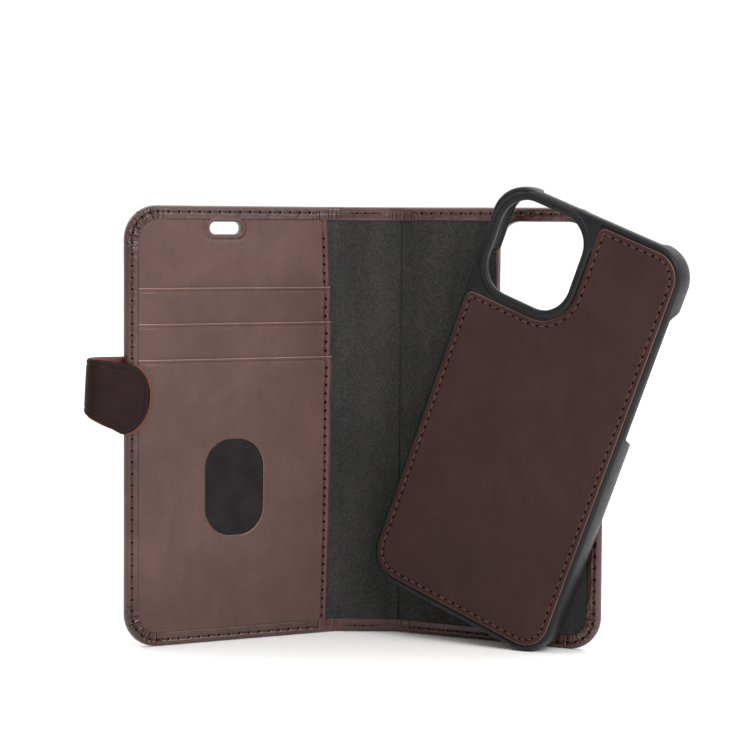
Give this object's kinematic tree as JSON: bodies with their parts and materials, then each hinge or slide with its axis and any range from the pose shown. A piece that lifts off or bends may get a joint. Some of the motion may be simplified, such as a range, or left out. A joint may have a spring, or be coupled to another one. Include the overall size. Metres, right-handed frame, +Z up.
{
  "type": "phone wallet case",
  "caption": "Folding leather phone wallet standing open, with card pockets, clasp strap and a separate leather-backed phone shell standing in front of its back cover.",
  "frame": {"origin": "middle of the back cover's bottom edge, on the surface that the wallet stands on", "axes": "+Z up along the folds; X along the back cover, from the spine's fold to its free edge; -Y is the way the back cover's inside faces"},
  "size_m": [0.1866, 0.1003, 0.161],
  "materials": {
    "outer_leather": "dark chocolate brown full-grain leather, soft gloss",
    "pocket_leather": "brown smooth leather, slightly lighter",
    "strap_leather": "very dark brown smooth leather",
    "strap_backing": "reddish brown smooth leather",
    "lining_suede": "charcoal microfibre suede",
    "pocket_twill": "black twill",
    "thread": "reddish brown waxed thread",
    "board": "grey-brown stiffener board",
    "steel": "thin steel",
    "magnet": "nickel-plated magnet",
    "shell_plastic": "black soft-touch plastic"
  },
  "bodies": {
    "back_cover": {"back_cover_leather": "outer_leather", "back_cover_board": "board", "docking_magnets": "magnet", "clasp_plate": "steel", "back_cover_lining": "lining_suede", "back_cover_stitching": "thread"},
    "back_fold": {"back_fold_leather": "outer_leather", "back_fold_lining": "lining_suede"},
    "spine": {"spine_leather": "outer_leather", "spine_board": "board", "spine_lining": "lining_suede", "spine_end_stitching": "thread"},
    "front_fold": {"front_fold_leather": "outer_leather", "front_fold_lining": "lining_suede"},
    "front_cover": {"front_cover_leather": "outer_leather", "front_cover_board": "board", "pocket_liner": "pocket_twill", "pocket_top_panel": "pocket_leather", "card_slot_panel_1": "pocket_leather", "card_slot_panel_2": "pocket_leather", "main_pocket_panel": "pocket_leather", "earpiece_slot_rim": "pocket_leather", "front_cover_stitching": "thread", "pocket_edge_stitching": "thread", "strap_root_outer_leather": "strap_leather", "strap_root_inner_leather": "strap_backing", "strap_root_stitching": "thread"},
    "strap_band": {"strap_band_outer_leather": "strap_leather", "strap_band_inner_leather": "strap_backing", "strap_turn_outer_leather": "strap_leather", "strap_turn_inner_leather": "strap_backing"},
    "strap_tab": {"strap_tab_outer_leather": "strap_leather", "strap_tab_inner_leather": "strap_backing", "tab_magnet": "magnet", "strap_tab_stitching": "thread"},
    "shell": {"shell_tray": "shell_plastic", "shell_steel_plates": "steel", "shell_leather_panel": "outer_leather", "shell_lining": "lining_suede", "shell_stitching": "thread"}
  },
  "joints": [
    {"name": "back_cover_crease", "type": "hinge", "parent": "back_cover", "child": "back_fold", "pos_m": [-0.03946, 0, 0.077], "axis": [0, 0, 1], "range_deg": [-35, 5]},
    {"name": "spine_back_crease", "type": "hinge", "parent": "back_fold", "child": "spine", "pos_m": [-0.0448, -0.00143, 0.077], "axis": [0, 0, 1], "range_deg": [-85, 55]},
    {"name": "spine_front_crease", "type": "hinge", "parent": "spine", "child": "front_fold", "pos_m": [-0.06084, -0.01069, 0.077], "axis": [0, 0, 1], "range_deg": [-85.75, 54.25]},
    {"name": "front_cover_crease", "type": "hinge", "parent": "front_fold", "child": "front_cover", "pos_m": [-0.0643, -0.01424, 0.077], "axis": [0, 0, 1], "range_deg": [-35.75, 4.25]},
    {"name": "strap_tab_turn", "type": "hinge", "parent": "strap_band", "child": "strap_tab", "pos_m": [-0.10704, -0.09443, 0.0934], "axis": [0, 0, -1], "range_deg": [0, 180], "deforming": ["strap_turn_outer_leather", "strap_turn_inner_leather"]},
    {"name": "strap_band_fold", "type": "hinge", "parent": "front_cover", "child": "strap_band", "pos_m": [-0.1056, -0.08486, 0.0934], "axis": [0, 0, 1], "range_deg": [0, 90]},
    {"name": "shell_lift", "type": "slide", "parent": "back_cover", "child": "shell", "axis": [0, 0, 1], "range_m": [0, 0.17]}
  ],
  "couplings": [
    {"joint": "strap_band_fold", "follows": "strap_tab_turn", "ratio": 0.5}
  ]
}
